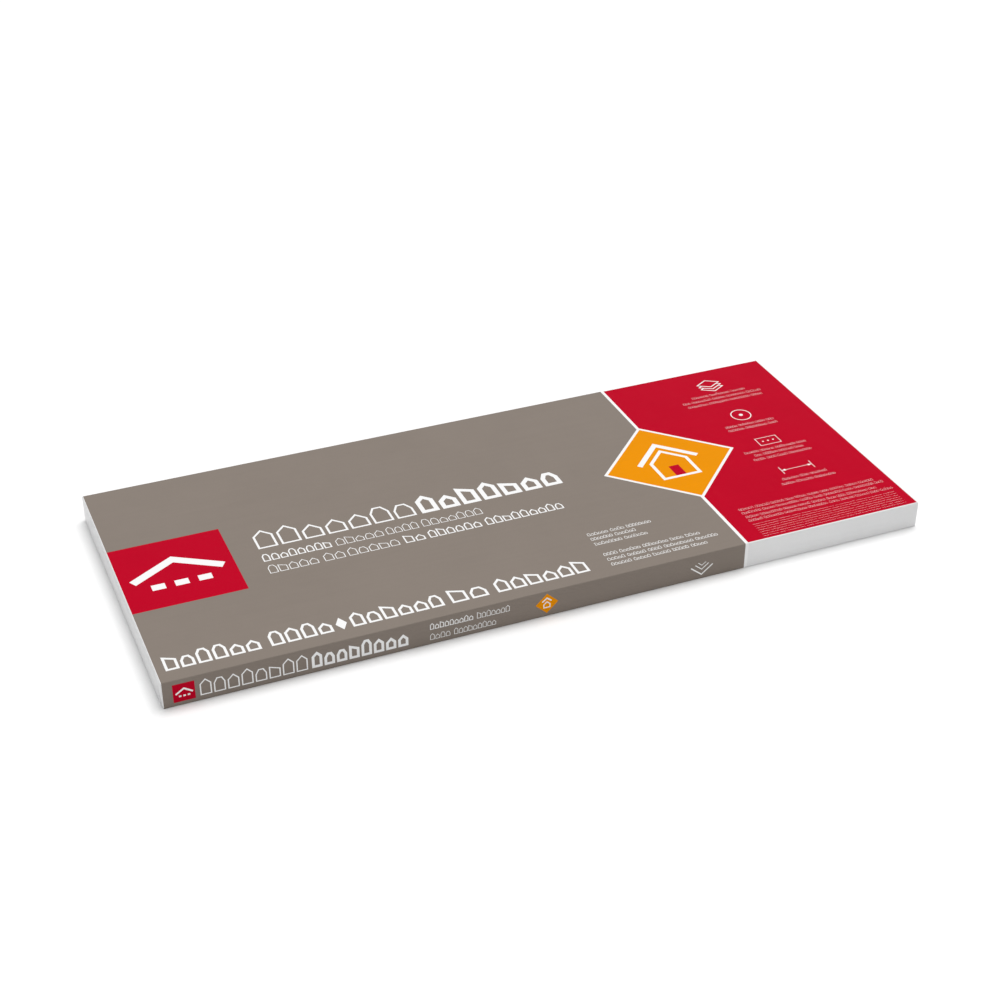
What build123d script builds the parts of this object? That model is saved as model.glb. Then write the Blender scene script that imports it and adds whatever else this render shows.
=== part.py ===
"""A bundle of asphalt starter strips, stacked flat and wrapped whole in one sheet of polyethylene film.

Millimetres, +Z up. The origin is the middle of the underside, +X runs along the strips and +Y across them to
the back. Two sub-parts: the film and the strips inside it.
"""

from build123d import *

import math
import os

# The starter strips
strip_length = 1016.0
strip_width = 432.0
strip_thickness = 2.33
strip_count = 15
ply_gap = 0.14  # granules keep one strip this far off the next, and off the film above and below
jog = 0.8  # furthest that a strip lies out of line with the stack, each way

# The film
film_thickness = 0.15
edge_radius = 1.2  # inside radius of the film where it turns round an edge of the stack
flap_depth = 29.0  # how far an end flap reaches across the end, from the edge that it is folded over

# What follows from those sizes
side_slack = jog + edge_radius  # keeps every square strip corner clear of the film's rounded edges
inner_length = strip_length + 2 * side_slack
inner_width = strip_width + 2 * side_slack
inner_height = strip_count * strip_thickness + (strip_count + 1) * ply_gap
outer_radius = edge_radius + film_thickness
outer_length = inner_length + 2 * film_thickness
outer_width = inner_width + 2 * film_thickness
outer_height = inner_height + 2 * film_thickness


def rounded_block(length, width, height, radius):
    """A block centred on the origin with every edge rounded."""
    block = Box(length, width, height)
    return fillet(block.edges(), radius)


def end_flap(side, layers, from_top):
    """One folded flap on an end of the bundle, mitred at 45 degrees where the film tucks in under it.

    side is +1 or -1 for the end that it closes, layers how many films it stands out by, and from_top says
    whether it is folded down from the top edge or up from the bottom one.
    """
    half_base = outer_width / 2 - outer_radius
    rise = flap_depth - outer_radius
    half_tip = half_base - rise
    if from_top:
        base_z, tip_z = outer_height - outer_radius, outer_height - flap_depth
    else:
        base_z, tip_z = outer_radius, flap_depth
    end_plane = Plane(origin=(side * outer_length / 2, 0, 0), x_dir=(0, side, 0), z_dir=(side, 0, 0))
    corners = [(-half_base, base_z), (half_base, base_z), (half_tip, tip_z), (-half_tip, tip_z)]
    outline = end_plane * make_face(Polyline(*corners, close=True))
    return extrude(outline, layers * film_thickness)


def make_wrapper():
    """The film: a closed skin round the stack, with a lapped pair of flaps folded over each end."""
    middle = Pos(0, 0, outer_height / 2)
    outside = middle * rounded_block(outer_length, outer_width, outer_height, outer_radius)
    inside = middle * rounded_block(inner_length, inner_width, inner_height, edge_radius)
    film = outside
    for side in (-1, 1):
        film += end_flap(side, layers=1, from_top=True)
        film += end_flap(side, layers=2, from_top=False)
    return film - inside


def make_strip(index):
    """One strip of the stack, counted from the bottom and a little out of line with the others."""
    level = film_thickness + ply_gap + index * (strip_thickness + ply_gap) + strip_thickness / 2
    turn = index * math.radians(137.5)
    place = Pos(jog * math.cos(turn), jog * math.sin(turn), level)
    return place * Box(strip_length, strip_width, strip_thickness)


os.makedirs("parts", exist_ok=True)
wrapper = make_wrapper()
strips = Compound([make_strip(index).solid() for index in range(strip_count)])

export_step(wrapper.solid(), "parts/wrapper.step")
export_step(strips, "parts/starter_strips.step")
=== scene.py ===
"""Looks of a film-wrapped bundle of asphalt starter strips.

The bundle is a flat stack of strips inside one sheet of milky polyethylene film. The film is drawn over
the stack with small rounded folds, closed by a heat-sealed lap along the underside and by a pair of mitred
flaps on each end. Its top and long sides carry flat fields of taupe, red, orange and white ink with plain
generic marks in place of any wording. Lengths are in metres, but the print is laid out in millimetres.
"""

import logging
import math
import random
from dataclasses import dataclass, field
from enum import Enum
from typing import Callable, Sequence

import bpy
import numpy as np
from mathutils import Matrix, Vector
from mathutils.geometry import delaunay_2d_cdt


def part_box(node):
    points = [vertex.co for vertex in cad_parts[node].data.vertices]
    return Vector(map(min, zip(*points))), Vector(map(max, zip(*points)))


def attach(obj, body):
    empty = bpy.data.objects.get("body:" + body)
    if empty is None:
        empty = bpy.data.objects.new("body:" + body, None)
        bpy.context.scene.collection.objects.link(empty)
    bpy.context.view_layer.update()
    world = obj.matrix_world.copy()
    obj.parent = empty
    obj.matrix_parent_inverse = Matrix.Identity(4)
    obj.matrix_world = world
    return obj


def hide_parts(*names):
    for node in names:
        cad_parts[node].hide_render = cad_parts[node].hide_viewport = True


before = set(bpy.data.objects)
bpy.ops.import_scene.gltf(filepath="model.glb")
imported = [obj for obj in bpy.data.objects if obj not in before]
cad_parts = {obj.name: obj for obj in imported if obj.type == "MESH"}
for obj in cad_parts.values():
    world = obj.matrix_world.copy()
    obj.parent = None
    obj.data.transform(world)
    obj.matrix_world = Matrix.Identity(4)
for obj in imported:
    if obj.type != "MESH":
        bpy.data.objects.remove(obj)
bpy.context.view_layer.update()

MM = 0.001
ROOT = "root"
FILM_NODE = "wrapper"
STRIP_NODE = "starter_strips"

log = logging.getLogger("starter_bundle")

Point = tuple[float, float]
Outline = list[Point]
Triple = tuple[float, float, float]
Colour = Triple
Placer = Callable[[np.ndarray, float], tuple[np.ndarray, np.ndarray]]


# ---------------------------------------------------------------------------------------------------------
# Shader building
# ---------------------------------------------------------------------------------------------------------


class Signal:
    """A number carried by a shader socket, which takes part in ordinary arithmetic."""

    def __init__(self, bench: "NodeBench", socket: bpy.types.NodeSocket) -> None:
        """Wrap one output socket.

        Args:
            bench: the bench whose tree the socket belongs to.
            socket: the output that carries the number.
        """
        self.bench = bench
        self.socket = socket

    def _with(self, operation: str, left: "Signal | float", right: "Signal | float") -> "Signal":
        """Join two numbers by a Math node.

        Args:
            operation: the Math node's operation.
            left: the first number.
            right: the second number.

        Returns:
            The node's result.
        """
        node = self.bench.add("ShaderNodeMath", {"operation": operation}, {0: left, 1: right})
        return Signal(self.bench, node.outputs[0])

    def __add__(self, other: "Signal | float") -> "Signal":
        """Return this number plus another."""
        return self._with("ADD", self, other)

    def __radd__(self, other: float) -> "Signal":
        """Return a plain number plus this one."""
        return self._with("ADD", other, self)

    def __sub__(self, other: "Signal | float") -> "Signal":
        """Return this number less another."""
        return self._with("SUBTRACT", self, other)

    def __rsub__(self, other: float) -> "Signal":
        """Return a plain number less this one."""
        return self._with("SUBTRACT", other, self)

    def __mul__(self, other: "Signal | float") -> "Signal":
        """Return this number times another."""
        return self._with("MULTIPLY", self, other)

    def __rmul__(self, other: float) -> "Signal":
        """Return a plain number times this one."""
        return self._with("MULTIPLY", other, self)

    def __pow__(self, other: "Signal | float") -> "Signal":
        """Return this number to a power."""
        return self._with("POWER", self, other)

    def __rpow__(self, other: float) -> "Signal":
        """Return a plain number to the power of this one."""
        return self._with("POWER", other, self)


class NodeBench:
    """The node tree of one material or sky, and the only place where its nodes are made."""

    def __init__(self, owner: bpy.types.Material | bpy.types.World) -> None:
        """Start with an empty tree.

        Args:
            owner: the material or the sky that the tree belongs to.
        """
        owner.use_nodes = True
        self.owner = owner
        self.tree = owner.node_tree
        self.tree.nodes.clear()

    def add(
        self,
        kind: str,
        settings: dict[str, object] | None = None,
        inputs: dict[str | int, object] | None = None,
    ) -> bpy.types.Node:
        """Make one node.

        Args:
            kind: the node's type, such as ShaderNodeMath.
            settings: its properties, set before its sockets. "stops" holds a ramp's positions and colours.
            inputs: a value, a socket or a Signal for each named or numbered input.

        Returns:
            The new node.
        """
        node = self.tree.nodes.new(kind)
        for key, value in (settings or {}).items():
            if key == "stops":
                self._set_stops(node.color_ramp.elements, value)
            else:
                setattr(node, key, value)
        for key, value in (inputs or {}).items():
            self._feed(node.inputs[key], value)
        return node

    def _set_stops(
        self, elements: bpy.types.ColorRampElements, stops: Sequence[tuple[float, Sequence[float]]]
    ) -> None:
        """Give a colour ramp its stops.

        Args:
            elements: the ramp's elements, two at first.
            stops: a position and a colour for each stop, in order.
        """
        while len(elements) < len(stops):
            elements.new(1.0)
        for element, (position, colour) in zip(elements, stops):
            element.position = position
            element.color = (*colour, 1.0)

    def _feed(self, socket: bpy.types.NodeSocket, value: object) -> None:
        """Set or link one input.

        Args:
            socket: the input to feed.
            value: a Signal, an output socket or a plain value.
        """
        if isinstance(value, Signal):
            self.tree.links.new(value.socket, socket)
        elif isinstance(value, bpy.types.NodeSocket):
            self.tree.links.new(value, socket)
        else:
            socket.default_value = value

    def signal(self, node: bpy.types.Node, output: str | int = 0) -> Signal:
        """Return one of a node's outputs as a number for arithmetic."""
        return Signal(self, node.outputs[output])

    def place(self) -> bpy.types.NodeSocket:
        """Return the object's own coordinates, in metres."""
        return self.add("ShaderNodeTexCoord").outputs["Object"]

    def noise_at(
        self, place: bpy.types.NodeSocket, scale: float, detail: float, roughness: float
    ) -> Signal:
        """Make smooth noise from given coordinates.

        Args:
            place: the coordinates.
            scale: how many cells there are in a unit of them.
            detail: how many finer layers are added.
            roughness: how strong the finer layers are.

        Returns:
            The noise, mostly between 0.3 and 0.7.
        """
        node = self.add(
            "ShaderNodeTexNoise",
            {"noise_dimensions": "3D"},
            {"Vector": place, "Scale": scale, "Detail": detail, "Roughness": roughness},
        )
        return self.signal(node)

    def noise(
        self, scale: float, detail: float, roughness: float, offset: Triple = (0.0, 0.0, 0.0)
    ) -> Signal:
        """Make smooth noise over the object.

        Args:
            scale: how many cells there are in a metre.
            detail: how many finer layers are added.
            roughness: how strong the finer layers are.
            offset: moves the pattern, so that two materials differ.

        Returns:
            The noise, mostly between 0.3 and 0.7.
        """
        moved = self.add("ShaderNodeVectorMath", {"operation": "ADD"}, {0: self.place(), 1: offset})
        return self.noise_at(moved.outputs[0], scale, detail, roughness)

    def drawn_noise(self, stretch: Triple, scale: float) -> Signal:
        """Make smooth noise that is drawn out along some directions.

        Args:
            stretch: how close the noise is along X, Y and Z, as shares of its scale.
            scale: how many cells there are in a metre where the share is 1.

        Returns:
            The noise, mostly between 0.3 and 0.7.
        """
        squeezed = self.add(
            "ShaderNodeMapping", {"vector_type": "POINT"}, {"Vector": self.place(), "Scale": stretch}
        )
        return self.noise_at(squeezed.outputs[0], scale, 2.0, 0.5)

    def blend(
        self, share: Signal, first: bpy.types.NodeSocket | Colour, second: Colour
    ) -> bpy.types.NodeSocket:
        """Mix two colours.

        Args:
            share: how much of the second colour shows.
            first: the colour at 0, fixed or from a node.
            second: the colour at 1.

        Returns:
            The mixed colour.
        """
        start = first if isinstance(first, bpy.types.NodeSocket) else (*first, 1.0)
        node = self.add(
            "ShaderNodeMix",
            {"data_type": "RGBA", "clamp_factor": True},
            {0: share, 6: start, 7: (*second, 1.0)},
        )
        return node.outputs[2]

    def relief(self, height: Signal, distance: float, strength: float) -> bpy.types.NodeSocket:
        """Turn a height into a bumped normal.

        Args:
            height: the height, about 0 to 1.
            distance: how far a height of 1 stands out, in metres.
            strength: how much of the bump is used.

        Returns:
            The normal.
        """
        inputs = {"Strength": strength, "Distance": distance, "Height": height}
        return self.add("ShaderNodeBump", {}, inputs).outputs["Normal"]

    def finish(self, inputs: dict[str | int, object]) -> bpy.types.Material:
        """Close the tree with one Principled shader.

        Args:
            inputs: what feeds the shader's sockets.

        Returns:
            The finished material.
        """
        shader = self.add("ShaderNodeBsdfPrincipled", {}, inputs)
        self.add("ShaderNodeOutputMaterial", {}, {"Surface": shader.outputs[0]})
        return self.owner


# ---------------------------------------------------------------------------------------------------------
# Finishes
# ---------------------------------------------------------------------------------------------------------


@dataclass(frozen=True)
class GranuleFinish:
    """Ceramic-coated mineral granules pressed into black asphalt."""

    name: str = "granule_asphalt"
    asphalt: Colour = (0.012, 0.011, 0.011)
    dark: Colour = (0.035, 0.034, 0.033)
    pale: Colour = (0.16, 0.155, 0.145)
    palest: Colour = (0.26, 0.25, 0.235)
    granule_scale: float = 620.0
    patch_scale: float = 30.0
    roughness: float = 0.82
    roughness_swing: float = 0.2
    relief_height: float = 0.5 * MM

    def build(self) -> bpy.types.Material:
        """Return the strips' material."""
        bench = NodeBench(bpy.data.materials.new(self.name))
        cells = bench.add(
            "ShaderNodeTexVoronoi",
            {"feature": "F1"},
            {"Vector": bench.place(), "Scale": self.granule_scale},
        )
        split = bench.add("ShaderNodeSeparateColor", {}, {0: cells.outputs["Color"]})
        patches = bench.noise(self.patch_scale, 3.0, 0.6)
        granules = bench.add(
            "ShaderNodeValToRGB",
            {"stops": [(0.15, self.dark), (0.6, self.pale), (0.95, self.palest)]},
            {"Fac": bench.signal(split) * 0.75 + patches * 0.5 - 0.1},
        )
        gap = bench.signal(cells, "Distance") ** 2.0 * 2.2
        return bench.finish(
            {
                "Base Color": bench.blend(gap, granules.outputs["Color"], self.asphalt),
                "Roughness": self.roughness + (bench.signal(split, 1) - 0.5) * self.roughness_swing,
                "Normal": bench.relief(1.0 - gap, self.relief_height, 0.8),
            }
        )


@dataclass(frozen=True)
class FloorFinish:
    """A plain pale studio floor."""

    name: str = "pale_floor"
    colour: Colour = (0.86, 0.86, 0.86)

    def build(self) -> bpy.types.Material:
        """Return the floor's material."""
        bench = NodeBench(bpy.data.materials.new(self.name))
        return bench.finish({"Base Color": (*self.colour, 1.0), "Roughness": 0.9})


@dataclass(frozen=True)
class FilmRelief:
    """The fine relief that bare and printed film share.

    It is a pebbled skin, long streaks from the rollers, soft slack creases, and the edges of the strips,
    which press through the film on the bundle's sides and ends.
    """

    streak: Triple = (0.03, 1.0, 1.0)
    streak_scale: float = 160.0
    pebble_scale: float = 520.0
    pebble_height: float = 0.05 * MM
    streak_height: float = 0.02 * MM
    crease: Triple = (1.0, 0.45, 0.6)
    crease_scale: float = 26.0
    crease_height: float = 0.9 * MM
    layer: Triple = (0.012, 0.012, 1.0)
    layer_height: float = 0.5 * MM
    strips: int = 15

    def build(self, bench: NodeBench) -> tuple[Signal, bpy.types.NodeSocket]:
        """Make the relief.

        Args:
            bench: the material's bench.

        Returns:
            The streaks, for use in the colour, and the normal.
        """
        low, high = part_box(STRIP_NODE)
        layers = bench.drawn_noise(self.layer, self.strips / (high.z - low.z))
        streaks = bench.drawn_noise(self.streak, self.streak_scale)
        creases = bench.drawn_noise(self.crease, self.crease_scale)
        pebble = bench.noise(self.pebble_scale, 2.0, 0.5)
        height = pebble * self.pebble_height + streaks * self.streak_height
        height = height + layers * self.layer_height + creases * self.crease_height
        return streaks, bench.relief(height * (1.0 / MM), MM, 1.0)


@dataclass(frozen=True)
class SheetFinish:
    """The face of the film, bare or printed: softly clouded, with faint roller lines and pin-point specks.

    Its tone is the clouds, the roller lines and the specks, each times its share, less the balance. The
    first colour shows where the tone is 0 and the second where it is 1.
    """

    name: str
    first: Colour
    second: Colour
    roughness: float
    shine: float
    clouds: Triple
    speck_scale: float
    shares: Triple
    balance: float
    offset: Triple = (0.0, 0.0, 0.0)
    roughness_swing: float = 0.2

    def build(self) -> bpy.types.Material:
        """Return the material."""
        bench = NodeBench(bpy.data.materials.new(self.name))
        cloud = bench.noise(*self.clouds, self.offset)
        specks = bench.noise(self.speck_scale, 1.0, 0.5, self.offset)
        streaks, normal = FilmRelief().build(bench)
        clouded, streaked, specked = self.shares
        tone = cloud * clouded + streaks * streaked + specks * specked - self.balance
        return bench.finish(
            {
                "Base Color": bench.blend(tone, self.first, self.second),
                "Roughness": self.roughness + (cloud - 0.5) * self.roughness_swing,
                "Normal": normal,
                "Specular IOR Level": self.shine,
            }
        )


def press_ink(
    name: str,
    colour: Colour,
    mottle: float = 0.06,
    shine: float = 0.04,
    offset: Triple = (0.0, 0.0, 0.0),
) -> SheetFinish:
    """Describe an even field of press ink on the film.

    Args:
        name: the ink's name.
        colour: its colour.
        mottle: how far its tone strays from that colour, as a share.
        shine: how glossy it is.
        offset: moves the pattern of its mottle.

    Returns:
        The ink's finish.
    """
    thin = tuple(min(1.0, channel * (1.0 + mottle)) for channel in colour)
    full = tuple(channel * (1.0 - mottle) for channel in colour)
    return SheetFinish(
        name, thin, full, 0.38, shine, (14.0, 4.0, 0.6), 900.0, (0.8, 0.4, 0.5), 0.35, offset
    )


class Ink(Enum):
    """The inks that the film is printed with."""

    TAUPE = "taupe"
    RED = "red"
    ORANGE = "orange"
    WHITE = "white"


MILKY_FILM = SheetFinish(
    name="milky_film",
    first=(0.655, 0.655, 0.66),
    second=(0.715, 0.715, 0.715),
    roughness=0.34,
    shine=0.4,
    clouds=(9.0, 3.0, 0.55),
    speck_scale=700.0,
    shares=(1.1, 0.5, 0.4),
    balance=0.5,
)
INK_FINISHES: dict[Ink, SheetFinish] = {
    Ink.TAUPE: press_ink("taupe_ink", (0.207, 0.175, 0.150)),
    Ink.RED: press_ink("red_ink", (0.425, 0.0, 0.015), shine=0.02, offset=(3.1, 0.0, 0.0)),
    Ink.ORANGE: press_ink("orange_ink", (0.69, 0.24, 0.0), shine=0.02, offset=(0.0, 5.3, 0.0)),
    Ink.WHITE: press_ink("white_ink", (0.77, 0.77, 0.77), mottle=0.02, offset=(0.0, 0.0, 7.7)),
}


# ---------------------------------------------------------------------------------------------------------
# Making meshes
# ---------------------------------------------------------------------------------------------------------


def add_mesh(
    name: str,
    points: np.ndarray,
    faces: list[tuple[int, ...]],
    normals: np.ndarray,
    smooth_faces: int,
    material: bpy.types.Material,
) -> bpy.types.Object:
    """Make one mesh object.

    Args:
        name: the piece's name.
        points: its corners.
        faces: its faces, as corner numbers.
        normals: a normal for each of the points, used on the smooth faces.
        smooth_faces: how many of the faces, from the first on, are smooth. The others are flat.
        material: what it is made of.

    Returns:
        The new object.
    """
    mesh = bpy.data.meshes.new(name)
    mesh.from_pydata(points.tolist(), [], faces)
    mesh.materials.append(material)
    mesh.polygons.foreach_set("use_smooth", np.ones(len(faces), dtype=bool))
    mesh.update()
    face_normals = np.empty(len(faces) * 3, dtype=np.float32)
    mesh.polygon_normals.foreach_get("vector", face_normals)
    corners = np.empty(len(mesh.loops), dtype=np.int32)
    mesh.loops.foreach_get("vertex_index", corners)
    owner = np.repeat(np.arange(len(faces)), [len(face) for face in faces])
    smooth = (owner < smooth_faces)[:, None]
    mesh.normals_split_custom_set(np.where(smooth, normals[corners], face_normals.reshape(-1, 3)[owner]))
    piece = bpy.data.objects.new(name, mesh)
    bpy.context.scene.collection.objects.link(piece)
    return piece


def own(piece: bpy.types.Object) -> bpy.types.Object:
    """Make a piece of film or ink part of the bundle.

    Args:
        piece: the piece to join to the bundle's one body.

    Returns:
        The same piece.
    """
    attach(piece, ROOT)
    log.info("%s: %d faces", piece.name, len(piece.data.polygons))
    return piece


def even_marks(low: float, high: float, pitch: float) -> np.ndarray:
    """Divide a length evenly.

    Args:
        low: where it starts.
        high: where it ends.
        pitch: about how long each part is.

    Returns:
        The ends of the parts.
    """
    return np.linspace(low, high, max(1, round((high - low) / pitch)) + 1)


def smoothstep(value: np.ndarray) -> np.ndarray:
    """Ease from 0 to 1.

    Args:
        value: any numbers; what is under 0 or over 1 is held there.

    Returns:
        The eased numbers.
    """
    held = np.clip(value, 0.0, 1.0)
    return held * held * (3.0 - 2.0 * held)


class Swell:
    """A smooth random surface made of a few plane waves, the same on every run."""

    WAVES = 9

    def __init__(self, seed: int, shortest: float, longest: float, along: float = 1.0) -> None:
        """Choose the waves.

        Args:
            seed: fixes the choice.
            shortest: the shortest wavelength.
            longest: the longest wavelength.
            along: over 1 draws the waves out along the first coordinate.
        """
        chooser = random.Random(seed)
        self.waves = []
        for index in range(self.WAVES):
            length = shortest * (longest / shortest) ** (index / (self.WAVES - 1))
            heading = chooser.uniform(0.0, math.tau)
            first = math.tau * math.cos(heading) / (length * along)
            second = math.tau * math.sin(heading) / length
            self.waves.append((first, second, chooser.uniform(0.0, math.tau)))

    def __call__(self, first: np.ndarray, second: np.ndarray) -> np.ndarray:
        """Return the swell's height, mostly between 0 and 1, at each pair of coordinates."""
        total = sum(np.sin(a * first + b * second + phase) for a, b, phase in self.waves)
        return 0.5 + total / math.sqrt(8.0 * self.WAVES)


# ---------------------------------------------------------------------------------------------------------
# The film's shape
# ---------------------------------------------------------------------------------------------------------


@dataclass
class FilmShape:
    """The film's outer surface: a block with every edge rounded, faintly slack between its edges.

    The web runs round the block. A place on it is x along the bundle and its girth: 0 where the flat of the
    front begins at its foot, and growing up the front, over the top and down the back.
    """

    half_length: float
    half_width: float
    foot: float
    crown: float
    radius: float = 1.23 * MM
    top_slack: float = 0.16 * MM
    side_bow: float = 0.26 * MM
    end_bow: float = 0.10 * MM
    pucker: float = 0.05 * MM
    pucker_reach: float = 60.0 * MM
    edge_hold: float = 36.0 * MM
    corner_hold: float = 18.0 * MM
    slope_step: float = 0.3 * MM
    top_swell: Swell = field(default_factory=lambda: Swell(11, 70.0 * MM, 280.0 * MM))
    side_swell: Swell = field(default_factory=lambda: Swell(23, 34.0 * MM, 160.0 * MM, along=1.6))
    rib_swell: Swell = field(default_factory=lambda: Swell(37, 24.0 * MM, 70.0 * MM, along=6.0))

    @property
    def arc(self) -> float:
        """Length of the film round one rounded edge."""
        return self.radius * math.pi / 2.0

    @property
    def rise(self) -> float:
        """Height of the flat part of a side."""
        return self.crown - self.foot - 2.0 * self.radius

    @property
    def run(self) -> float:
        """Width of the flat part of the top."""
        return 2.0 * (self.half_width - self.radius)

    def slackness(self, base: np.ndarray, normal: np.ndarray) -> np.ndarray:
        """How far the film stands off the plain block.

        Args:
            base: points on the plain block.
            normal: the block's normals there.

        Returns:
            The distance along the normal for each point, 0 on the rounded edges and the underside.
        """
        x, y, z = base.T
        to_end = self.half_length - np.abs(x)
        to_side = self.half_width - np.abs(y)
        held = smoothstep(to_end / self.edge_hold) * smoothstep(to_side / self.edge_hold)
        starting = smoothstep(to_end / (0.1 * self.pucker_reach))
        puckered = starting * smoothstep(1.0 - to_end / self.pucker_reach)
        puckered = puckered * smoothstep(to_side / self.corner_hold)
        top = self.top_swell(x, y) * held * self.top_slack
        top = top + self.rib_swell(x, y) * puckered * self.pucker
        level = np.clip((z - self.foot - self.radius) / self.rise, 0.0, 1.0)
        bow = 4.0 * level * (1.0 - level)
        side = -self.side_swell(x, z) * bow * self.side_bow * smoothstep(to_end / self.corner_hold)
        end = -self.side_swell(y, z) * bow * self.end_bow * smoothstep(to_side / self.corner_hold)
        nearly_square = 0.9999
        on_top = normal[:, 2] > nearly_square
        on_side = np.abs(normal[:, 1]) > nearly_square
        on_end = np.abs(normal[:, 0]) > nearly_square
        return np.select([on_top, on_side, on_end], [top, side, end], 0.0)

    def settle(
        self, base: np.ndarray, normal: np.ndarray, lift: float | np.ndarray
    ) -> tuple[np.ndarray, np.ndarray]:
        """Move points from the plain block to the slack film.

        Args:
            base: points on the plain block.
            normal: the block's normals there.
            lift: how far above the film's surface the points lie.

        Returns:
            The moved points, and the slack film's normals at them.
        """
        helper = np.where(np.abs(normal[:, :1]) < 0.9, [[1.0, 0.0, 0.0]], [[0.0, 1.0, 0.0]])
        first = np.cross(normal, helper)
        first /= np.linalg.norm(first, axis=1, keepdims=True)
        second = np.cross(normal, first)
        here = self.slackness(base, normal)
        tilted = normal.copy()
        for direction in (first, second):
            beside = self.slackness(base + direction * self.slope_step, normal)
            tilted -= direction * ((beside - here) / self.slope_step)[:, None]
        tilted /= np.linalg.norm(tilted, axis=1, keepdims=True)
        return base + normal * (here + lift)[:, None], tilted

    def round_block(self, x: np.ndarray, girth: np.ndarray) -> tuple[np.ndarray, np.ndarray]:
        """Wrap flat web places round the plain block.

        Args:
            x: the place along the bundle.
            girth: the place round it.

        Returns:
            The points and the block's normals there.
        """
        inner_y = self.half_width - self.radius
        low, high = self.foot + self.radius, self.crown - self.radius
        y, z, turn = np.zeros_like(girth), np.zeros_like(girth), np.zeros_like(girth)
        start = -self.arc - self.run
        quarter = math.pi / 2.0
        corners = [(inner_y, low), (-inner_y, low), (-inner_y, high), (inner_y, high), (inner_y, low)]
        straights = [self.run, self.rise, self.run, self.rise, self.run]
        for index, ((from_y, from_z), straight) in enumerate(zip(corners, straights)):
            heading = (index - 1) * quarter
            far = girth - start
            on_flat = (far >= 0.0) & (far <= straight)
            y[on_flat] = (from_y + far * math.sin(heading))[on_flat]
            z[on_flat] = (from_z + far * math.cos(heading))[on_flat]
            turn[on_flat] = heading
            if index + 1 < len(corners):
                bend = far - straight
                on_bend = (bend > 0.0) & (bend < self.arc)
                y[on_bend], z[on_bend] = corners[index + 1]
                turn[on_bend] = (heading + bend / self.radius)[on_bend]
            start += straight + self.arc
        normal = np.stack([np.zeros_like(turn), -np.cos(turn), np.sin(turn)], axis=1)
        return np.stack([x, y, z], axis=1) + normal * self.radius, normal

    def shell_grid(self, pitch: float, bends: int) -> tuple[np.ndarray, np.ndarray, np.ndarray]:
        """Cover the whole block with a grid of quads.

        Args:
            pitch: about how long a quad's side is on the flats.
            bends: how many quads go round half of a rounded edge.

        Returns:
            The points on the plain block, its normals there, and the quads, which face outward.
        """
        centre = np.array([0.0, 0.0, (self.foot + self.crown) / 2.0])
        halves = np.array([self.half_length, self.half_width, (self.crown - self.foot) / 2.0])
        round_in = self.radius * np.tan(np.linspace(0.0, math.pi / 4.0, bends + 1)[1:])
        marks = []
        for half in halves:
            inner = half - self.radius
            flat = even_marks(-inner, inner, pitch)
            marks.append(np.concatenate([-inner - round_in[::-1], flat, inner + round_in]))
        points, quads, count = [], [], 0
        for axis in range(3):
            first, second = (axis + 1) % 3, (axis + 2) % 3
            grid_a, grid_b = np.meshgrid(marks[first], marks[second], indexing="ij")
            rows, columns = grid_a.shape
            numbers = np.arange(rows * columns).reshape(rows, columns)
            loops = [numbers[:-1, :-1], numbers[1:, :-1], numbers[1:, 1:], numbers[:-1, 1:]]
            cells = np.stack([loop.ravel() for loop in loops], axis=1)
            for side in (-1.0, 1.0):
                sheet = np.empty((rows * columns, 3))
                sheet[:, axis] = side * halves[axis]
                sheet[:, first], sheet[:, second] = grid_a.ravel(), grid_b.ravel()
                points.append(sheet)
                quads.append(count + (cells if side > 0.0 else cells[:, ::-1]))
                count += rows * columns
        grain = 0.001 * MM
        rounded = np.round(np.concatenate(points) / grain)
        joined, where = np.unique(rounded, axis=0, return_inverse=True)
        surface = joined * grain
        inner = np.clip(surface, -(halves - self.radius), halves - self.radius)
        normal = surface - inner
        normal /= np.linalg.norm(normal, axis=1, keepdims=True)
        return centre + inner + normal * self.radius, normal, where.reshape(-1)[np.concatenate(quads)]


# ---------------------------------------------------------------------------------------------------------
# Cutting flat outlines into thin leaves
# ---------------------------------------------------------------------------------------------------------


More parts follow.
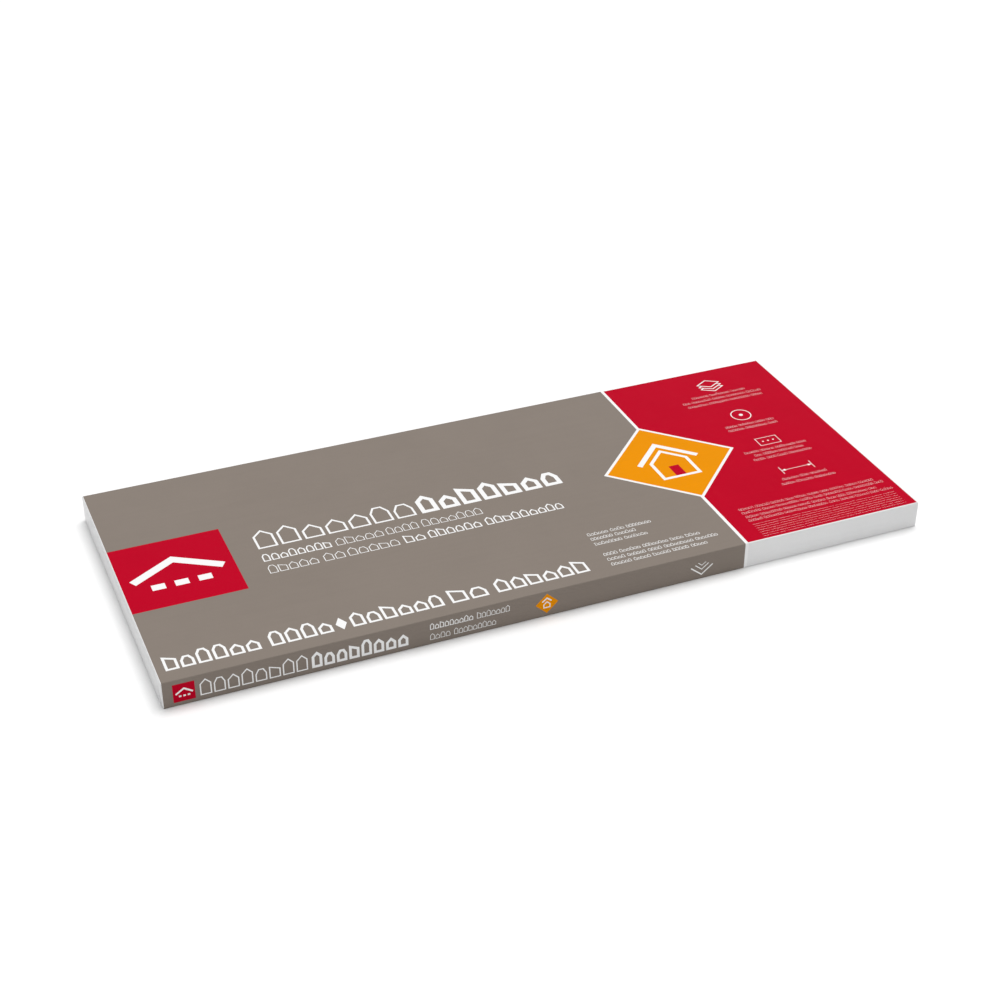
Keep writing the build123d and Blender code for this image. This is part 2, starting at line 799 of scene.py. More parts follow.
@dataclass
class CutSheet:
    """A flat sheet divided into triangles along overlapping outlines, of which the last laid is on top."""

    marks_u: np.ndarray
    marks_v: np.ndarray
    clearance: float
    outlines: list[tuple[object, Outline]] = field(default_factory=list)

    def lay(self, key: object, *outlines: Outline) -> None:
        """Lay outlines over those already laid.

        Args:
            key: says what the outlines cover the sheet with.
            outlines: closed outlines, each a list of corners.
        """
        for outline in outlines:
            sides = zip(outline, outline[1:] + outline[:1])
            twice_area = sum(a[0] * b[1] - b[0] * a[1] for a, b in sides)
            self.outlines.append((key, outline if twice_area > 0.0 else outline[::-1]))

    def _refine(self, outline: Outline) -> Outline:
        """Add a corner wherever an outline crosses the sheet's rows, or its columns on a level edge.

        Args:
            outline: the outline.

        Returns:
            The outline with the added corners.
        """
        refined = []
        for (u, v), (next_u, next_v) in zip(outline, outline[1:] + outline[:1]):
            refined.append((u, v))
            level = abs(next_v - v) < 1e-9
            marks, here, there = (self.marks_u, u, next_u) if level else (self.marks_v, v, next_v)
            low, high = min(here, there), max(here, there)
            gap = 0.05 * self.clearance
            crossed = marks[(marks > low + gap) & (marks < high - gap)]
            for mark in crossed if there > here else crossed[::-1]:
                share = (mark - here) / (there - here)
                refined.append((u + share * (next_u - u), v + share * (next_v - v)))
        return refined

    def _near(self, marks: np.ndarray, start: float, stop: float) -> slice:
        """Find the marks that are near a span.

        Args:
            marks: the sheet's rows or columns.
            start: one end of the span.
            stop: its other end.

        Returns:
            The range of marks within the clearance of the span.
        """
        low, high = min(start, stop) - self.clearance, max(start, stop) + self.clearance
        return slice(*np.searchsorted(marks, (low, high)))

    def _open_grid(self, outlines: list[Outline]) -> np.ndarray:
        """Find the grid's points that are clear of every outline.

        Args:
            outlines: the outlines to keep clear of.

        Returns:
            The points.
        """
        keep = np.ones((len(self.marks_u), len(self.marks_v)), dtype=bool)
        for outline in outlines:
            for (u, v), (next_u, next_v) in zip(outline, outline[1:] + outline[:1]):
                rows, columns = self._near(self.marks_u, u, next_u), self._near(self.marks_v, v, next_v)
                across = self.marks_u[rows, None] - u
                up = self.marks_v[None, columns] - v
                run_u, run_v = next_u - u, next_v - v
                share = (across * run_u + up * run_v) / max(run_u**2 + run_v**2, 1e-12)
                share = np.clip(share, 0.0, 1.0)
                far = np.hypot(across - share * run_u, up - share * run_v)
                keep[rows, columns] &= far > self.clearance
        grid_u, grid_v = np.meshgrid(self.marks_u, self.marks_v, indexing="ij")
        return np.stack([grid_u[keep], grid_v[keep]], axis=1)

    def cut(self) -> tuple[np.ndarray, dict[object, np.ndarray]]:
        """Divide the sheet.

        Returns:
            The corners of all the triangles, and the triangles under each key.
        """
        refined = [self._refine(outline) for _, outline in self.outlines]
        points, loops = [], []
        for outline in refined:
            loops.append(list(range(len(points), len(points) + len(outline))))
            points.extend(outline)
        points.extend(map(tuple, self._open_grid(refined).tolist()))
        corners, _, triangles, _, _, sources = delaunay_2d_cdt(
            [Vector(point) for point in points], [], loops, 0, 1e-4, True
        )
        sorted_by_key: dict[object, list] = {}
        for triangle, laid in zip(triangles, sources):
            if laid:
                sorted_by_key.setdefault(self.outlines[max(laid)][0], []).append(triangle)
        web = np.array([(corner.x, corner.y) for corner in corners])
        return web, {key: np.array(found) for key, found in sorted_by_key.items()}


def make_leaf(
    name: str,
    web: np.ndarray,
    triangles: np.ndarray,
    place: Placer,
    under: float,
    over: float,
    material: bpy.types.Material,
) -> bpy.types.Object:
    """Make a thin closed leaf from flat triangles.

    Args:
        name: the piece's name.
        web: flat corners.
        triangles: the triangles, as numbers of those corners, counter-clockwise.
        place: turns flat corners and a lift into points and normals.
        under: the lift of the leaf's underside.
        over: the lift of its upper side.
        material: what it is made of.

    Returns:
        The leaf.
    """
    used, numbered = np.unique(triangles, return_inverse=True)
    numbered = numbered.reshape(-1, 3)
    top, top_normals = place(web[used], over)
    bottom, bottom_normals = place(web[used], under)
    count = len(used)
    edges = np.concatenate([numbered[:, [0, 1]], numbered[:, [1, 2]], numbered[:, [2, 0]]])
    known = set(map(tuple, edges.tolist()))
    rim = sorted((a, b) for a, b in known if (b, a) not in known)
    faces = [tuple(face) for face in numbered.tolist()]
    faces += [tuple(face) for face in (numbered[:, ::-1] + count).tolist()]
    smooth_faces = len(faces)
    faces += [(b, a, a + count, b + count) for a, b in rim]
    points = np.concatenate([top, bottom])
    normals = np.concatenate([top_normals, -bottom_normals])
    return add_mesh(name, points, faces, normals, smooth_faces, material)


# ---------------------------------------------------------------------------------------------------------
# Plain outlines for the marks
# ---------------------------------------------------------------------------------------------------------


def oblong(left: float, low: float, right: float, high: float) -> Outline:
    """Outline a rectangle, given its sides."""
    return [(left, low), (right, low), (right, high), (left, high)]


def rhombus(centre: Point, half_width: float, half_height: float) -> Outline:
    """Outline a rhombus that stands on a corner, given its middle and half its width and height."""
    x, y = centre
    return [(x - half_width, y), (x, y - half_height), (x + half_width, y), (x, y + half_height)]


def disc(centre: Point, radius: float, sides: int = 36) -> Outline:
    """Outline a disc as a polygon, given its middle, its radius and how many sides it gets."""
    turns = [math.tau * side / sides for side in range(sides)]
    return [(centre[0] + radius * math.cos(turn), centre[1] + radius * math.sin(turn)) for turn in turns]


class Roof(Enum):
    """The shape of a small block's head."""

    GABLE = "gable"
    HIP = "hip"
    SHED = "shed"


def block(left: float, low: float, right: float, high: float, roof: Roof) -> Outline:
    """Outline a small upright block with the head of a house.

    Args:
        left: its left side.
        low: its foot.
        right: its right side.
        high: the top of its head.
        roof: the head's shape.

    Returns:
        The outline, counter-clockwise.
    """
    wide, tall = right - left, high - low
    middle = (left + right) / 2.0
    eaves = high - min(0.5 * wide, 0.42 * tall)
    heads: dict[Roof, Outline] = {
        Roof.GABLE: [(right, eaves), (middle, high), (left, eaves)],
        Roof.HIP: [(right, eaves), (right - 0.27 * wide, high), (left + 0.27 * wide, high), (left, eaves)],
        Roof.SHED: [(right, high - 0.28 * tall), (left, high)],
    }
    return [(left, low), (right, low), *heads[roof]]


def inset(outline: Outline, depth: float) -> Outline:
    """Shrink an outline by moving each of its sides in.

    Args:
        outline: a counter-clockwise outline.
        depth: how far its sides move.

    Returns:
        The smaller outline.
    """
    inner = []
    for before, corner, after in zip(outline[-1:] + outline[:-1], outline, outline[1:] + outline[:1]):
        first = Vector((before[1] - corner[1], corner[0] - before[0])).normalized()
        second = Vector((corner[1] - after[1], after[0] - corner[0])).normalized()
        move = (first + second) * (depth / (1.0 + first.dot(second)))
        inner.append((corner[0] + move.x, corner[1] + move.y))
    return inner


def band(path: Outline, width: float) -> Outline:
    """Outline a band of even width along an open path, with mitred bends.

    Args:
        path: the corners of the band's middle line.
        width: the band's width.

    Returns:
        The outline.
    """
    headings = []
    for (x, y), (next_x, next_y) in zip(path, path[1:]):
        length = math.hypot(next_x - x, next_y - y)
        headings.append(((next_x - x) / length, (next_y - y) / length))
    left, right = [], []
    for index, (x, y) in enumerate(path):
        before = headings[max(index - 1, 0)]
        after = headings[min(index, len(headings) - 1)]
        across = (-(before[1] + after[1]), before[0] + after[0])
        size = math.hypot(*across)
        reach = width / size / (size / 2.0)
        left.append((x + across[0] * reach / 2.0, y + across[1] * reach / 2.0))
        right.append((x - across[0] * reach / 2.0, y - across[1] * reach / 2.0))
    return left + right[::-1]


# ---------------------------------------------------------------------------------------------------------
# The print on the film
# ---------------------------------------------------------------------------------------------------------


@dataclass(frozen=True)
class Panel:
    """A flat side of the bundle, measured along it from the left end and up it from its lower edge."""

    girth_at_zero: float

    def on_web(self, outline: Outline) -> Outline:
        """Move an outline from the panel to the web."""
        return [(x, y + self.girth_at_zero) for x, y in outline]


@dataclass(frozen=True)
class Row:
    """A row of blocks: its foot, its head, the weight of its outlines, and where each group lies."""

    low: float
    high: float
    weight: float
    groups: tuple[Point, ...]


@dataclass(frozen=True)
class Lines:
    """Lines of small blocks: how tall they are, the weight of their outlines and the ink under them."""

    tall: float
    weight: float
    ground: Ink


@dataclass
class PrintedWeb:
    """The flat print, in millimetres: its fields of colour and the generic marks on them."""

    length: float
    width: float
    radius: float
    height: float
    grid_pitch: float = 5.6
    clearance: float = 0.35
    end_margin: float = 1.35
    wrap_under: float = 20.0
    taupe_end: float = 759.7
    band_end: float = 764.1
    red_margin: float = 2.2
    red_foot: float = 0.5
    red_right: float = 0.8
    fold_parts: int = 6
    block_pitch: float = 0.70
    block_fill: float = 0.84
    group_shortest: float = 2.2
    group_longest: float = 7.0
    group_gap: float = 0.6
    bar_shortest: float = 8.0
    bar_longest: float = 34.0
    bar_gap: float = 1.6
    seed: int = 5
    roofs: dict[Roof, int] = field(default_factory=lambda: {Roof.GABLE: 5, Roof.HIP: 3, Roof.SHED: 2})
    head_shares: tuple[float, ...] = (0.76, 0.76, 0.88, 1.0)
    top_rows: tuple[Row, ...] = (
        Row(224.0, 266.5, 0.066, ((181.5, 396.0),)),
        Row(224.0, 266.5, 0.148, ((403.5, 605.0),)),
        Row(194.0, 210.5, 0.1, ((180.0, 270.0),)),
        Row(194.0, 210.5, 0.057, ((277.0, 340.0), (345.0, 388.0), (394.0, 477.0))),
        Row(166.0, 184.0, 0.057, ((180.0, 244.0), (252.0, 279.0), (284.0, 352.0))),
        Row(166.0, 184.0, 0.096, ((360.0, 387.0), (393.0, 465.0), (472.0, 581.0))),
        Row(20.2, 48.4, 0.115, ((12.0, 127.0), (139.0, 216.0), (240.0, 357.0))),
        Row(20.2, 48.4, 0.115, ((367.0, 415.0), (427.0, 551.0))),
    )
    front_rows: tuple[Row, ...] = (
        Row(7.0, 30.0, 0.066, ((45.0, 175.0),)),
        Row(7.0, 30.0, 0.148, ((180.0, 301.0),)),
        Row(21.4, 30.8, 0.107, ((329.0, 385.0),)),
        Row(21.4, 30.8, 0.074, ((390.0, 433.0),)),
        Row(6.4, 15.6, 0.073, ((329.0, 355.0), (360.0, 415.0))),
    )

    def __post_init__(self) -> None:
        """Lay out the web's rows, close together round the rounded edges, and its columns."""
        arc = self.radius * math.pi / 2.0
        rise = self.height - 2.0 * self.radius
        run = self.width - 2.0 * self.radius
        self.top = Panel(rise + arc - self.radius)
        self.front = Panel(-self.radius)
        self.lowest = -arc - self.wrap_under
        self.highest = 2.0 * rise + 3.0 * arc + run + self.wrap_under
        stretches = (self.wrap_under, arc, rise, arc, run, arc, rise, arc, self.wrap_under)
        folds = self.lowest + np.cumsum([0.0, *stretches])
        rows = [
            even_marks(start, stop, arc / self.fold_parts if index % 2 else self.grid_pitch)
            for index, (start, stop) in enumerate(zip(folds, folds[1:]))
        ]
        marks_v = np.unique(np.round(np.concatenate(rows), 6))
        marks_u = even_marks(self.end_margin, self.length - self.end_margin, self.grid_pitch)
        self.sheet = CutSheet(marks_u, marks_v, self.clearance)
        self.chooser = random.Random(self.seed)

    def lay_on(self, panel: Panel, ink: Ink, *outlines: Outline) -> None:
        """Print outlines on a panel over what is there.

        Args:
            panel: the side of the bundle.
            ink: what they are printed in.
            outlines: the outlines, in the panel's millimetres.
        """
        self.sheet.lay(ink, *(panel.on_web(outline) for outline in outlines))

    def on_top(self, ink: Ink, *outlines: Outline) -> None:
        """Print outlines on the top."""
        self.lay_on(self.top, ink, *outlines)

    def roof_row(
        self, panel: Panel, ends: Point, low: float, high: float, weight: float, ground: Ink = Ink.TAUPE
    ) -> None:
        """Print a group of small open blocks with the heads of houses, which stands where a word would.

        Args:
            panel: the side of the bundle.
            ends: where the group starts and ends.
            low: its foot.
            high: the head of its tallest blocks.
            weight: the thickness of the blocks' outlines, as a share of the group's height.
            ground: the ink that the group stands on, which shows inside the blocks.
        """
        left, right = ends
        tall = high - low
        count = max(1, round((right - left) / (self.block_pitch * tall)))
        pitch = (right - left) / (count - 1.0 + self.block_fill)
        roofs = self.chooser.choices(list(self.roofs), list(self.roofs.values()), k=count)
        for index, roof in enumerate(roofs):
            start = left + index * pitch
            share = self.chooser.choice(self.head_shares) if index else 1.0
            outline = block(start, low, start + self.block_fill * pitch, low + share * tall, roof)
            self.lay_on(panel, Ink.WHITE, outline)
            self.lay_on(panel, ground, inset(outline, weight * tall))

    def print_rows(self, panel: Panel, rows: Sequence[Row]) -> None:
        """Print rows of blocks on the taupe field.

        Args:
            panel: the side that they are on.
            rows: the rows, in the order in which they are printed.
        """
        for row in rows:
            for ends in row.groups:
                self.roof_row(panel, ends, row.low, row.high, row.weight)

    def small_line(self, ends: Point, middle: float, style: Lines) -> None:
        """Print a line of groups of uneven length on the top, where a line of small wording would stand.

        Args:
            ends: where the line starts and ends.
            middle: the height of its middle.
            style: its height, weight and ground.
        """
        start, right = ends
        tall = style.tall
        low, high = middle - tall / 2.0, middle + tall / 2.0
        while start < right - tall:
            stop = min(start + self.chooser.uniform(self.group_shortest, self.group_longest) * tall, right)
            if right - stop < self.group_shortest * tall:
                stop = right
            self.roof_row(self.top, (start, stop), low, high, style.weight, style.ground)
            start = stop + self.group_gap * tall

    def finest_line(self, ends: Point, middle: float, thick: float) -> None:
        """Print a line of thin bars of uneven length on the top, where the finest wording would stand.

        Args:
            ends: where the line starts and ends.
            middle: the height of the bars' middle.
            thick: how thick the bars are.
        """
        start, right = ends
        while start < right - 1.0:
            stop = min(start + self.chooser.uniform(self.bar_shortest, self.bar_longest), right)
            if right - stop < self.bar_shortest:
                stop = right
            self.on_top(Ink.WHITE, oblong(start, middle - thick / 2.0, stop, middle + thick / 2.0))
            start = stop + self.bar_gap

    def print_fields(self) -> None:
        """Print the big fields: taupe and its white border round the bundle, and red on the top alone."""
        left, right = self.end_margin, self.length - self.end_margin
        self.sheet.lay(Ink.WHITE, oblong(self.taupe_end, self.lowest, self.band_end, self.highest))
        self.sheet.lay(Ink.TAUPE, oblong(left, self.lowest, self.taupe_end, self.highest))
        low, high = self.radius + self.red_foot, self.width - self.red_margin
        self.on_top(Ink.RED, oblong(self.band_end, low, right - self.red_right, high))

    def print_mark(self, panel: Panel, across: Point, up: Point, share: float) -> None:
        """Print a red square with a generic roof line over three blocks in it.

        Args:
            panel: the side of the bundle.
            across: the square's left and right sides.
            up: its foot and its head.
            share: the share of the square's height that the roof line takes.
        """
        (left, right), (low, high) = across, up
        self.lay_on(panel, Ink.RED, oblong(left, low, right, high))
        size = high - low
        middle_x, middle_y = (right + max(left, right - size)) / 2.0, (low + high) / 2.0
        reach, lift = 0.40 * size, share * size / 2.0
        thick = 0.36 * lift
        eaves, ridge, foot = middle_y - lift + 2.0 * thick, middle_y + lift - 0.6 * thick, middle_y - lift
        roof = [(middle_x - reach, eaves), (middle_x, ridge), (middle_x + reach, eaves)]
        self.lay_on(panel, Ink.WHITE, band(roof, thick))
        wide = 0.30 * reach
        for step in range(3):
            start = middle_x - reach * 0.66 + step * (reach * 1.32 - wide) / 2.0
            self.lay_on(panel, Ink.WHITE, oblong(start, foot, start + wide, foot + thick))

    def print_diamond(self) -> None:
        """Print the orange rhombus on the border of the fields, with a plain house in it."""
        middle = (762.7, 218.9)
        x = middle[0]
        self.on_top(Ink.WHITE, rhombus(middle, 99.3, 99.3))
        self.on_top(Ink.ORANGE, rhombus(middle, 93.8, 93.8))
        eaves, ridge, foot = 222.0, 266.0, 178.0
        self.on_top(Ink.WHITE, band([(x - 44.0, eaves), (x, ridge), (x + 44.0, eaves)], 7.5))
        house = [(x - 29.0, foot), (x + 29.0, foot), (x + 29.0, 223.0), (x, 252.0), (x - 29.0, 223.0)]
        line = 4.8
        self.on_top(Ink.WHITE, house)
        self.on_top(Ink.ORANGE, inset(house, line))
        self.on_top(Ink.RED, oblong(x - 7.5, foot + line, x + 7.5, 208.0))

    def print_sheets_sign(self, x: float, y: float) -> None:
        """Print a small stack of sheets on the top.

        Args:
            x: how far along its middle is.
            y: how far up its middle is.
        """
        for step in (-6.5, 0.0, 6.5):
            sheet = rhombus((x, y + step), 19.0, 11.0)
            self.on_top(Ink.WHITE, sheet)
            self.on_top(Ink.RED, inset(sheet, 1.6))

    def print_ring_sign(self, x: float, y: float) -> None:
        """Print a ring with a dot in it on the top.

        Args:
            x: how far along its middle is.
            y: how far up its middle is.
        """
        self.on_top(Ink.WHITE, disc((x, y), 15.0))
        self.on_top(Ink.RED, disc((x, y), 13.6))
        self.on_top(Ink.WHITE, disc((x, y), 3.0, 20))

    def print_strip_sign(self, x: float, y: float) -> None:
        """Print an open strip with three sealing dots on the top.

        Args:
            x: how far along its middle is.
            y: how far up its middle is.
        """
        strip = oblong(x - 16.5, y - 10.0, x + 16.5, y + 10.0)
        self.on_top(Ink.WHITE, strip)
        self.on_top(Ink.RED, inset(strip, 0.9))
        self.on_top(Ink.WHITE, *(disc((x + step, y), 1.4, 14) for step in (-8.0, 0.0, 8.0)))

    def print_length_sign(self, x: float, y: float) -> None:
        """Print a dimension line with arrow heads on the top.

        Args:
            x: how far along its middle is.
            y: how far up its middle is.
        """
        self.on_top(Ink.WHITE, oblong(x - 24.0, y - 0.4, x + 24.0, y + 0.4))
        for side in (-1.0, 1.0):
            tip, tail = x + side * 23.5, x + side * 17.5
            self.on_top(Ink.WHITE, [(tip, y), (tail, y - 2.4), (tail, y + 2.4)])
            self.on_top(Ink.WHITE, oblong(tip - 0.45, y - 9.0, tip + 0.45, y + 9.0))

    def print_red_panel(self) -> None:
        """Print the signs of the red panel, each over its own short lines, and the block of fine lines."""
        column, left = 916.4, 790.0
        under_signs, under_panel = Lines(5.0, 0.052, Ink.RED), Lines(4.8, 0.045, Ink.RED)
        signs = (
            (self.print_sheets_sign, 390.5, ((365.0, 43.0), (354.0, 63.0), (343.0, 60.0))),
            (self.print_ring_sign, 296.5, ((271.4, 38.0), (261.4, 39.0))),
            (self.print_strip_sign, 218.5, ((198.8, 48.0), (188.8, 38.0), (178.2, 45.0))),
            (self.print_length_sign, 140.0, ((119.6, 34.0), (108.6, 41.0))),
        )
        for print_sign, y, lines in signs:
            print_sign(column, y)
            for middle, reach in lines:
                self.small_line((column - reach, column + reach), middle, under_signs)
        for middle, right in ((73.8, 995.0), (65.0, 1005.0), (55.0, 988.0), (46.2, 1008.0)):
            self.small_line((left, right), middle, under_panel)
        for middle in (36.0, 31.2, 26.4, 21.6, 16.8, 12.0, 7.2):
            self.finest_line((left, 1005.0), middle, 0.22)

    def print_top(self) -> None:
        """Print the marks of the taupe field on the top."""
        self.print_mark(self.top, (self.end_margin, 146.2), (145.2, 289.8), 0.46)
        self.print_rows(self.top, self.top_rows)
        self.on_top(Ink.WHITE, rhombus((228.0, 32.0), 7.0, 12.5))
        style = Lines(6.4, 0.095, Ink.TAUPE)
        ends = ((95.2, 671.0), (84.2, 644.0), (72.2, 655.0), (46.4, 717.0), (34.9, 737.0), (23.4, 716.0))
        for middle, right in ends:
            self.small_line((581.0, right), middle, style)

    def print_front(self) -> None:
        """Print the marks of the front."""
        self.print_mark(self.front, (13.2, 39.3), (5.4, 30.8), 0.50)
        self.print_rows(self.front, self.front_rows)
        middle = (482.8, 19.1)
        x = middle[0]
        self.lay_on(self.front, Ink.ORANGE, rhombus(middle, 15.3, 14.4))
        self.lay_on(self.front, Ink.WHITE, band([(x - 6.3, 22.0), (x, 27.0), (x + 6.3, 22.0)], 1.8))
        house = block(x - 4.8, 12.4, x + 4.8, 22.4, Roof.GABLE)
        self.lay_on(self.front, Ink.WHITE, house)
        self.lay_on(self.front, Ink.ORANGE, inset(house, 1.4))
        arrow_x = 698.0
        for tip, reach, thick in ((6.4, 15.5, 1.7), (14.2, 9.5, 1.2), (20.2, 5.5, 0.9)):
            tail = tip + 0.8 * reach
            arrow = [(arrow_x - reach, tail), (arrow_x, tip), (arrow_x + reach, tail)]
            self.lay_on(self.front, Ink.WHITE, band(arrow, thick))

    def cut(self) -> tuple[np.ndarray, dict[object, np.ndarray]]:
        """Print everything and divide the web by ink.

        Returns:
            The web's corners in millimetres, and the triangles of each ink.
        """
        self.print_fields()
        self.print_diamond()
        self.print_red_panel()
        self.print_top()
        self.print_front()
        return self.sheet.cut()


# ---------------------------------------------------------------------------------------------------------
# The pieces
# ---------------------------------------------------------------------------------------------------------


@dataclass
class FilmWrap:
    """The film round the stack: its skin, the lap under it, the end flaps and the ink on it."""

    film: float = 0.10 * MM
    ink_room: float = 0.12 * MM
    flap_room: float = 0.30 * MM
    edge_radius: float = 1.35 * MM
    skin_pitch: float = 6.0 * MM
    lining_pitch: float = 12.0 * MM
    ink_under: float = 0.04 * MM
    ink_over: float = 0.09 * MM
    lay_gap: float = 0.02 * MM
    lap_width: float = 50.0 * MM
    lap_middle: float = 60.0 * MM
    lap_pitch: Point = (10.0 * MM, 5.0 * MM)
    lap_clearance: float = 1.0 * MM
    flap_depth: float = 29.0 * MM
    flap_pitch: Point = (5.0 * MM, 2.5 * MM)
    flap_clearance: float = 0.8 * MM
    flap_waves: Point = (18.0 * MM, 90.0 * MM)
    flap_looseness: float = 0.02 * MM
    flap_seed: int = 51
    flat_size: Point = (1.083, 0.998)

    def __post_init__(self) -> None:
        """Fit the film inside the box of the wrapper, with room left for what lies on it."""
        low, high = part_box(FILM_NODE)
        self.shape = FilmShape(
            half_length=high.x - self.flap_room - self.ink_room,
            half_width=high.y - self.ink_room,
            foot=low.z + self.ink_room,
            crown=high.z - self.ink_room,
            radius=self.edge_radius - self.ink_room,
        )
        self.material = MILKY_FILM.build()

    def make_skin(self) -> bpy.types.Object:
        """Make the closed skin, with its lining one film's thickness inside it.

        Returns:
            The skin.
        """
        shape = self.shape
        outside, out_normals, out_quads = shape.shell_grid(self.skin_pitch, 3)
        inside, in_normals, in_quads = shape.shell_grid(self.lining_pitch, 2)
        outside, out_normals = shape.settle(outside, out_normals, 0.0)
        inside, in_normals = shape.settle(inside, in_normals, -self.film)
        points = np.concatenate([outside, inside])
        normals = np.concatenate([out_normals, -in_normals])
        quads = np.concatenate([out_quads, in_quads[:, ::-1] + len(outside)])
        faces = [tuple(quad) for quad in quads.tolist()]
        skin = add_mesh("film_skin", points, faces, normals, len(faces), self.material)
        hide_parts(FILM_NODE)
        return own(skin)

    def make_lap(self) -> bpy.types.Object:
        """Make the heat-sealed lap that closes the film along the underside.

        Returns:
            The lap.
        """
        shape = self.shape
        half = shape.half_length - 2.0 * shape.radius
        low, high = self.lap_middle - self.lap_width / 2.0, self.lap_middle + self.lap_width / 2.0
        along, across = self.lap_pitch
        sheet = CutSheet(even_marks(-half, half, along), even_marks(low, high, across), self.lap_clearance)
        sheet.lay("film", oblong(-half, low, half, high))
        web, found = sheet.cut()

        def place(flat: np.ndarray, lift: float) -> tuple[np.ndarray, np.ndarray]:
            """Lay flat places on the underside.

            Args:
                flat: the flat places.
                lift: how far under the skin they lie.

            Returns:
                The points, and the normals there.
            """
            level = np.full(len(flat), shape.foot - lift)
            down = np.tile([0.0, 0.0, -1.0], (len(flat), 1))
            return np.stack([flat[:, 0], -flat[:, 1], level], axis=1), down

        under, over = self.lay_gap, self.lay_gap + self.film
        return own(make_leaf("film_lap", web, found["film"], place, under, over, self.material))

    def make_flap(self, side: int, upper: bool) -> bpy.types.Object:
        """Make one mitred flap on an end.

        Args:
            side: -1 for the left end and 1 for the right one.
            upper: whether it is folded down from the top edge, or up from the bottom one over the other.

        Returns:
            The flap.
        """
        shape = self.shape
        base = shape.radius * 0.9
        wide = shape.half_width - shape.radius
        rise = self.flap_depth - base
        outline = [(-wide, base), (wide, base), (wide - rise, base + rise), (-wide + rise, base + rise)]
        marks_u = even_marks(-wide, wide, self.flap_pitch[0])
        marks_v = even_marks(base, base + rise, self.flap_pitch[1])
        sheet = CutSheet(marks_u, marks_v, self.flap_clearance)
        sheet.lay("film", outline)
        web, found = sheet.cut()
        under = self.lay_gap if upper else 2.0 * self.lay_gap + self.film
        swell = Swell(self.flap_seed + side + 3 * upper, *self.flap_waves)

        def place(flat: np.ndarray, lift: float) -> tuple[np.ndarray, np.ndarray]:
            """Lay flat places on the end.

            Args:
                flat: the flat places, measured from the edge that the flap is folded over.
                lift: how far outside the skin they lie.

            Returns:
                The points, and the normals there.
            """
            height = shape.crown - flat[:, 1] if upper else shape.foot + flat[:, 1]
            y = flat[:, 0] * (-side if upper else side)
            out = np.tile([float(side), 0.0, 0.0], (len(flat), 1))
            points = np.stack([np.full(len(flat), side * shape.half_length), y, height], axis=1)
            loose = smoothstep((flat[:, 1] - base) / rise) * swell(y, height) * self.flap_looseness
            return shape.settle(points, out, lift + loose)

        name = f"film_flap_{'left' if side < 0 else 'right'}_{'upper' if upper else 'lower'}"
        over = under + self.film * 0.9
        return own(make_leaf(name, web, found["film"], place, under, over, self.material))

    def make_inks(self) -> list[bpy.types.Object]:
        """Make the print, one thin leaf for each ink.

        Returns:
            The leaves.
        """
        shape = self.shape
        print_web = PrintedWeb(
            length=2.0 * shape.half_length / MM,
            width=2.0 * shape.half_width / MM,
            radius=shape.radius / MM,
            height=(shape.crown - shape.foot) / MM,
        )
        web, found = print_web.cut()

        def place(flat: np.ndarray, lift: float) -> tuple[np.ndarray, np.ndarray]:
            """Wrap flat places round the skin."""
            base, normal = shape.round_block(flat[:, 0] * MM - shape.half_length, flat[:, 1] * MM)
            return shape.settle(base, normal, lift)

        under, over = self.ink_under, self.ink_over
        leaves = []
        for ink, finish in INK_FINISHES.items():
            leaf = make_leaf(finish.name, web, found[ink], place, under, over, finish.build())
            leaves.append(own(leaf))
        return leaves

    def build(self) -> None:
        """Make every piece of film and ink."""
        skin = self.make_skin()
        extras = [self.make_lap()]
        for side in (-1, 1):
            extras += [self.make_flap(side, upper) for upper in (True, False)]
        self.make_inks()


@dataclass
class StripStack:
    """The starter strips, whose shape is already right and which only need their mineral face."""

    node: str = STRIP_NODE

    def build(self) -> None:
        """Dress the strips in asphalt and granules."""
        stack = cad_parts[self.node]
        material = GranuleFinish().build()
        stack.data.materials.clear()
        stack.data.materials.append(material)
        log.info("%s: dressed in %s", self.node, material.name)


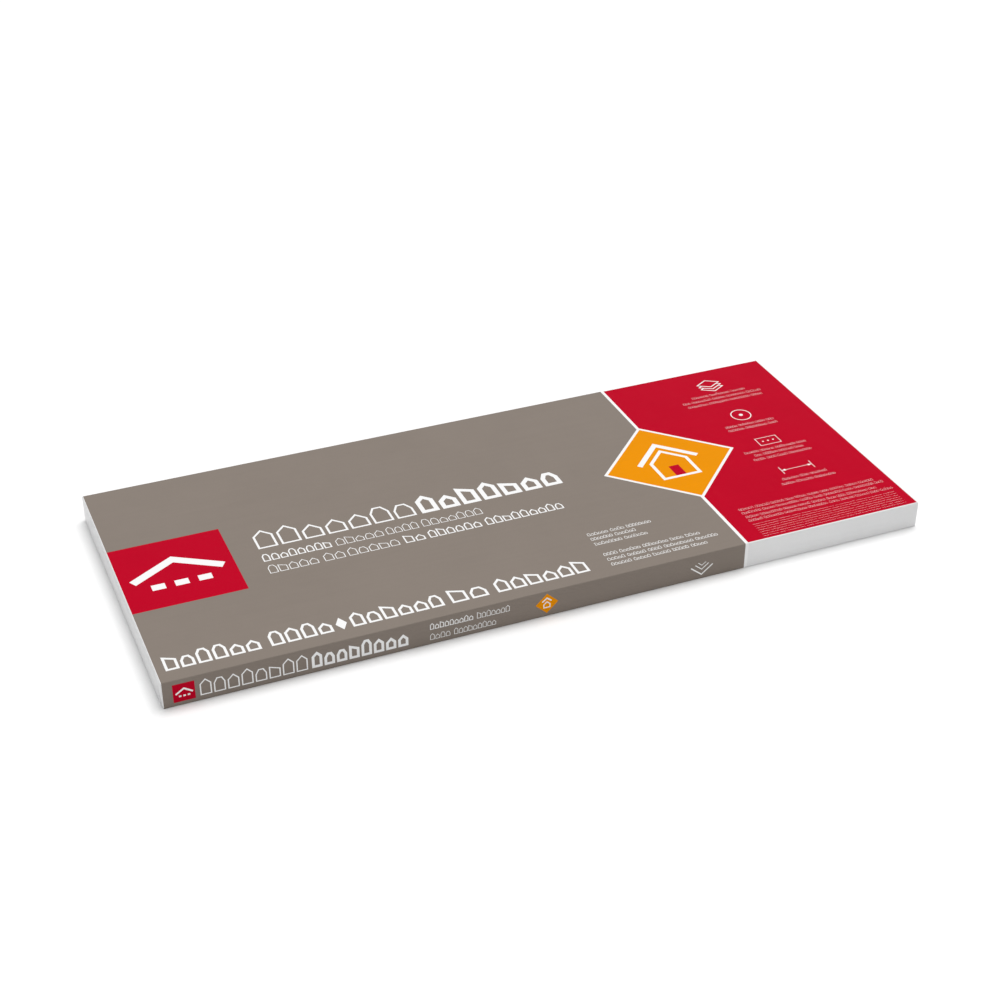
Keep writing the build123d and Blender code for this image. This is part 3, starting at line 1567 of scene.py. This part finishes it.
@dataclass
class Studio:
    """A pale floor, soft light from above and the right, and the camera."""

    floor_half: float = 12.0
    sky_stops: tuple[Point, ...] = ((0.0, 0.98), (0.12, 0.85), (0.35, 0.60), (1.0, 0.56))
    key_from: Triple = (0.22, 0.17, 1.0)
    key_spread: float = 38.0
    key_strength: float = 2.2
    aim: Triple = (0.0227, 0.0532, 0.0)
    azimuth: float = -22.6092
    elevation: float = 32.1671
    distance: float = 2.4842
    roll: float = 0.135
    lens: float = 65.6104
    sensor: float = 36.0

    def lay_floor(self) -> None:
        """Lay the floor."""
        half = self.floor_half
        corners = np.array([(*corner, 0.0) for corner in oblong(-half, -half, half, half)])
        up = np.tile([0.0, 0.0, 1.0], (4, 1))
        floor = add_mesh("studio_floor", corners, [(0, 1, 2, 3)], up, 0, FloorFinish().build())

    def hang_lights(self) -> None:
        """Light the sky evenly and hang one broad soft lamp nearly overhead."""
        world = bpy.data.worlds.new("soft_sky")
        bench = NodeBench(world)
        heading = bench.add("ShaderNodeTexCoord").outputs["Generated"]
        upward = bench.add("ShaderNodeSeparateXYZ", {}, {0: heading}).outputs["Z"]
        stops = [(height, (light, light, light)) for height, light in self.sky_stops]
        tone = bench.add("ShaderNodeValToRGB", {"stops": stops}, {"Fac": upward})
        sky = bench.add("ShaderNodeBackground", {}, {"Color": tone.outputs["Color"], "Strength": 1.0})
        bench.add("ShaderNodeOutputWorld", {}, {"Surface": sky.outputs[0]})
        bpy.context.scene.world = world
        lamp = bpy.data.lights.new("key_light", "SUN")
        lamp.energy = self.key_strength
        lamp.angle = math.radians(self.key_spread)
        holder = bpy.data.objects.new("key_light", lamp)
        holder.matrix_world = Vector(self.key_from).to_track_quat("Z", "Y").to_matrix().to_4x4()
        bpy.context.scene.collection.objects.link(holder)

    def set_camera(self) -> None:
        """Set the camera, looking down on the front and the left end."""
        azimuth, elevation, roll = (math.radians(a) for a in (self.azimuth, self.elevation, self.roll))
        flat = math.cos(elevation)
        back = Vector((math.sin(azimuth) * flat, -math.cos(azimuth) * flat, math.sin(elevation)))
        level = (-back).cross(Vector((0.0, 0.0, 1.0))).normalized()
        upward = level.cross(-back)
        right = level * math.cos(roll) + upward * math.sin(roll)
        up = upward * math.cos(roll) - level * math.sin(roll)
        turn = Matrix((right, up, back)).transposed().to_4x4()
        camera = bpy.data.cameras.new("camera")
        camera.lens = self.lens
        camera.sensor_width = self.sensor
        holder = bpy.data.objects.new("camera", camera)
        holder.matrix_world = Matrix.Translation(Vector(self.aim) + back * self.distance) @ turn
        bpy.context.scene.collection.objects.link(holder)
        bpy.context.scene.camera = holder

    def build(self) -> None:
        """Set the whole studio."""
        bpy.context.scene.view_settings.view_transform = "Standard"
        self.lay_floor()
        self.hang_lights()
        self.set_camera()
        log.info("studio: floor, sky, key light and camera")


def main() -> None:
    """Build the studio and the bundle."""
    logging.basicConfig(level=logging.INFO, format="%(name)s: %(message)s")
    Studio().build()
    StripStack().build()
    FilmWrap().build()


if __name__ == "__main__":
    main()
